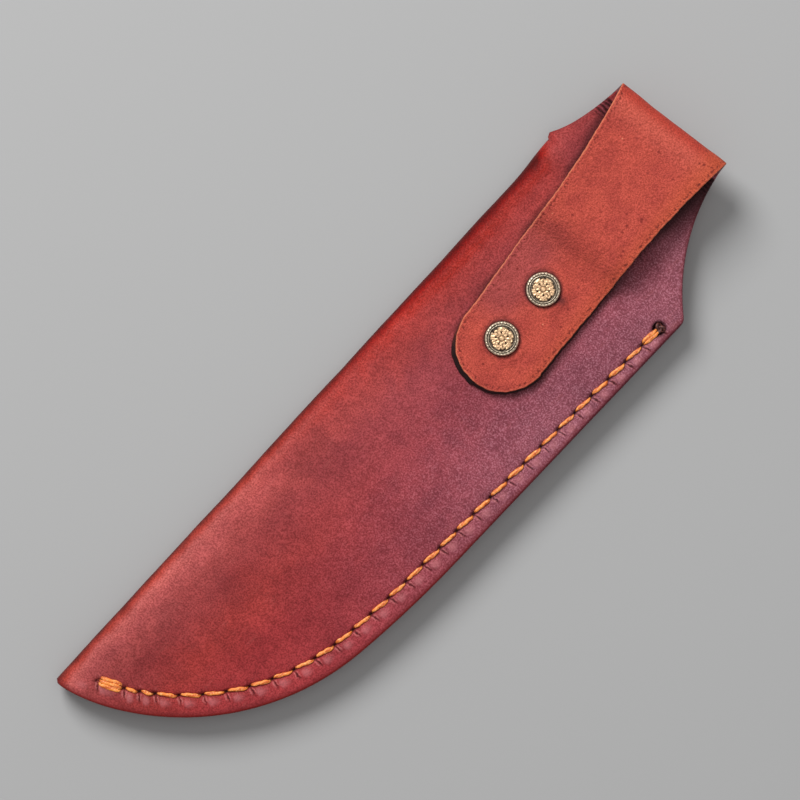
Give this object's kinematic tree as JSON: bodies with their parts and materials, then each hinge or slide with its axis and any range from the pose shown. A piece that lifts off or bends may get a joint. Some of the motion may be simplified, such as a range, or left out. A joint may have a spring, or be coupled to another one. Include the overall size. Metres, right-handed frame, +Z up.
{
  "type": "leather knife sheath",
  "caption": "Folded leather belt sheath with a curved tip, a saddle-stitched seam and a riveted turned-over belt loop.",
  "frame": {"origin": "under the middle of the sheath's outline, on the plane of its front face", "axes": "+X across from the folded spine to the stitched seam, +Y from the tip to the belt loop, +Z up through the back panel and belt loop"},
  "size_m": [0.0624, 0.2324, 0.0184],
  "materials": {
    "hide": "waxed two-tone crimson and oxblood grain, suede flesh side on the belt loop",
    "welt": "raw edge, glued",
    "thread": "waxed, twisted",
    "antique_brass": "antiqued, pressed relief",
    "plain_brass": "plain, turned in"
  },
  "bodies": {
    "root": {"sheath_leather": "hide", "welt_front": "welt", "welt_back": "welt", "seam_thread": "thread", "rivet_upper_cap": "antique_brass", "rivet_upper_socket": "plain_brass", "rivet_upper_post": "plain_brass", "rivet_upper_base": "antique_brass", "rivet_lower_cap": "antique_brass", "rivet_lower_socket": "plain_brass", "rivet_lower_post": "plain_brass", "rivet_lower_base": "antique_brass"}
  },
  "joints": []
}
